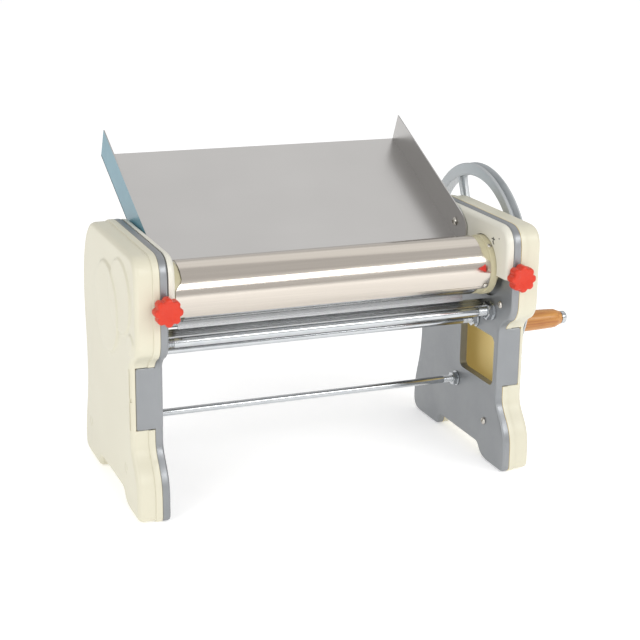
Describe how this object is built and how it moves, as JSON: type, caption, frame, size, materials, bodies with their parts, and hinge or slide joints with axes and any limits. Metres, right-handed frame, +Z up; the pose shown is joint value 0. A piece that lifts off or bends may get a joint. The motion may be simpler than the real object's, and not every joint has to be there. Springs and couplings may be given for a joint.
{
  "type": "hand-cranked dough roller",
  "caption": "Hand-cranked dough roller with cast side frames, moulded covers, a sheet hopper, a curved roller cover, lock knobs and a spoked flywheel with a wooden grip.",
  "frame": {"origin": "middle of the bounding box, at the underside of the feet", "axes": "+X along the rollers towards the flywheel, +Z up, the operator's side faces -Y"},
  "size_m": [0.4648, 0.2456, 0.2753],
  "materials": {
    "cast_frame": "silver-grey paint on die-cast aluminium",
    "moulded_cover": "cream moulded plastic, satin gloss",
    "hopper_sheet": "brushed stainless sheet, protective film left on the outer faces of the side walls",
    "scraper_strip": "stainless spring strip",
    "polished_cover": "polished stainless sheet",
    "roller_face": "ground and plated steel",
    "end_disc": "cream moulded nylon",
    "zinc_steel": "bright zinc plated steel",
    "screw_steel": "nickel plated steel",
    "bearing_bronze": "oiled sintered bronze",
    "gear_steel": "cut teeth, greased",
    "wheel_iron": "silver-grey enamel",
    "grip_wood": "turned and varnished beech",
    "red_plastic": "red moulded plastic",
    "red_mark": "red pointer plate"
  },
  "bodies": {
    "frame": {"left_side_frame": "cast_frame", "right_side_frame": "cast_frame", "left_outer_cover": "moulded_cover", "right_outer_cover": "moulded_cover", "left_inner_cover": "moulded_cover", "right_inner_cover": "moulded_cover", "hopper_tray": "hopper_sheet", "left_hopper_screw": "screw_steel", "right_hopper_screw": "screw_steel", "left_head_cover_screw": "screw_steel", "right_head_cover_screw": "screw_steel", "left_front_leg_screw": "screw_steel", "right_front_leg_screw": "screw_steel", "left_rear_leg_screw": "screw_steel", "right_rear_leg_screw": "screw_steel", "front_tie_rod": "zinc_steel", "rear_tie_rod": "zinc_steel", "lower_tie_rod": "zinc_steel", "left_front_tie_nut": "zinc_steel", "right_front_tie_nut": "zinc_steel", "left_rear_tie_nut": "zinc_steel", "right_rear_tie_nut": "zinc_steel", "left_lower_tie_nut": "zinc_steel", "right_lower_tie_nut": "zinc_steel", "front_scraper": "scraper_strip", "rear_scraper": "scraper_strip", "left_rear_bush": "bearing_bronze", "right_rear_bush": "bearing_bronze", "drive_bush": "bearing_bronze"},
    "drive": {"drive_shaft": "zinc_steel", "drive_pinion": "gear_steel", "hand_wheel": "wheel_iron", "wheel_nut": "zinc_steel", "crank_pin": "zinc_steel", "grip_nut": "zinc_steel"},
    "grip": {"grip": "grip_wood"},
    "rear_roller": {"rear_roller": "roller_face", "rear_roller_gear": "gear_steel", "big_gear": "gear_steel"},
    "adjuster": {"left_eccentric_sleeve": "end_disc", "right_eccentric_sleeve": "end_disc", "roller_cover": "polished_cover", "left_sheet_screw": "screw_steel", "right_sheet_screw": "screw_steel", "setting_pointer": "red_mark"},
    "front_carriage": {"left_front_bush": "bearing_bronze", "right_front_bush": "bearing_bronze"},
    "front_roller": {"front_roller": "roller_face", "front_roller_gear": "gear_steel"},
    "left_lock_tip": {"left_lock_pad": "bearing_bronze"},
    "left_lock": {"left_lock_knob": "red_plastic", "left_lock_stem": "zinc_steel"},
    "right_lock_tip": {"right_lock_pad": "bearing_bronze"},
    "right_lock": {"right_lock_knob": "red_plastic", "right_lock_stem": "zinc_steel"}
  },
  "joints": [
    {"name": "wheel_spin", "type": "hinge", "parent": "frame", "child": "drive", "pos_m": [0.12, 0.02768, 0.14655], "axis": [1, 0, 0], "continuous": true},
    {"name": "grip_spin", "type": "hinge", "parent": "drive", "child": "grip", "pos_m": [0.18, 0.04196, 0.08423], "axis": [1, 0, 0], "continuous": true},
    {"name": "rear_roller_spin", "type": "hinge", "parent": "frame", "child": "rear_roller", "pos_m": [-0.0582, -0.02132, 0.1565], "axis": [1, 0, 0], "continuous": true},
    {"name": "gap_adjust", "type": "hinge", "parent": "frame", "child": "adjuster", "pos_m": [-0.0582, -0.06489, 0.17572], "axis": [1, 0, 0], "range_deg": [-30, 30]},
    {"name": "front_roller_shift", "type": "slide", "parent": "frame", "child": "front_carriage", "axis": [0, 0.9272, -0.3746], "range_m": [-0.00078, 0.00078]},
    {"name": "front_roller_spin", "type": "hinge", "parent": "front_carriage", "child": "front_roller", "pos_m": [-0.0582, -0.06545, 0.17433], "axis": [1, 0, 0], "continuous": true},
    {"name": "left_lock_press", "type": "slide", "parent": "frame", "child": "left_lock_tip", "axis": [0, -1, 0], "range_m": [0, 0.0025]},
    {"name": "left_knob_turn", "type": "hinge", "parent": "left_lock_tip", "child": "left_lock", "pos_m": [-0.2084, -0.112, 0.17572], "axis": [0, -1, 0], "range_deg": [0, 720]},
    {"name": "right_lock_press", "type": "slide", "parent": "frame", "child": "right_lock_tip", "axis": [0, -1, 0], "range_m": [0, 0.0025]},
    {"name": "right_knob_turn", "type": "hinge", "parent": "right_lock_tip", "child": "right_lock", "pos_m": [0.092, -0.112, 0.17572], "axis": [0, -1, 0], "range_deg": [0, 720]}
  ],
  "couplings": [
    {"joint": "rear_roller_spin", "follows": "wheel_spin", "ratio": -0.31579},
    {"joint": "front_roller_spin", "follows": "wheel_spin", "ratio": 0.31579},
    {"joint": "gap_adjust", "follows": "front_roller_shift", "rad_per_m": 666.67},
    {"joint": "left_knob_turn", "follows": "left_lock_press", "rad_per_m": 5026.5},
    {"joint": "right_knob_turn", "follows": "right_lock_press", "rad_per_m": 5026.5}
  ]
}
